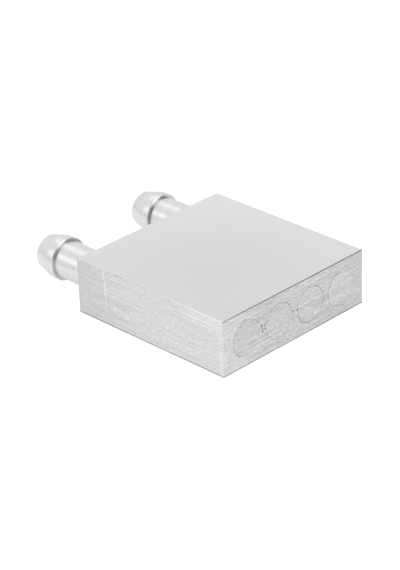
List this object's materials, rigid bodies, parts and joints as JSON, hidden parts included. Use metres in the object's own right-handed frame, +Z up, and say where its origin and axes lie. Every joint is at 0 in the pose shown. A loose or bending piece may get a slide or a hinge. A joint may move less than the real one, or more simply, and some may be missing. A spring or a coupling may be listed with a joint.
{
  "type": "liquid cooling cold plate",
  "caption": "Flat square aluminium water block with hose barbs side by side on one face and plugged round channels; it draws heat from a hot face into coolant.",
  "frame": {"origin": "centre of the lower contact face of the block", "axes": "+Z up through the block, from one contact face to the other; +Y along the channels, the way the hose barbs point; +X across the channels, from the inlet to the outlet"},
  "size_m": [0.04, 0.0559, 0.012],
  "materials": {
    "extruded_bar": "satin, with fine lines along the bar on its sides and across it on its cut ends",
    "ground_plug": "ground flush with the bar's end, with fine lines across it",
    "turned_barb": "turned, with fine rings"
  },
  "bodies": {
    "root": {"block_body": "extruded_bar", "inlet_barb": "turned_barb", "outlet_barb": "turned_barb", "end_plug_1": "ground_plug", "end_plug_2": "ground_plug", "end_plug_3": "ground_plug", "end_plug_4": "ground_plug", "port_face_plug_2": "ground_plug", "port_face_plug_3": "ground_plug"}
  },
  "joints": []
}
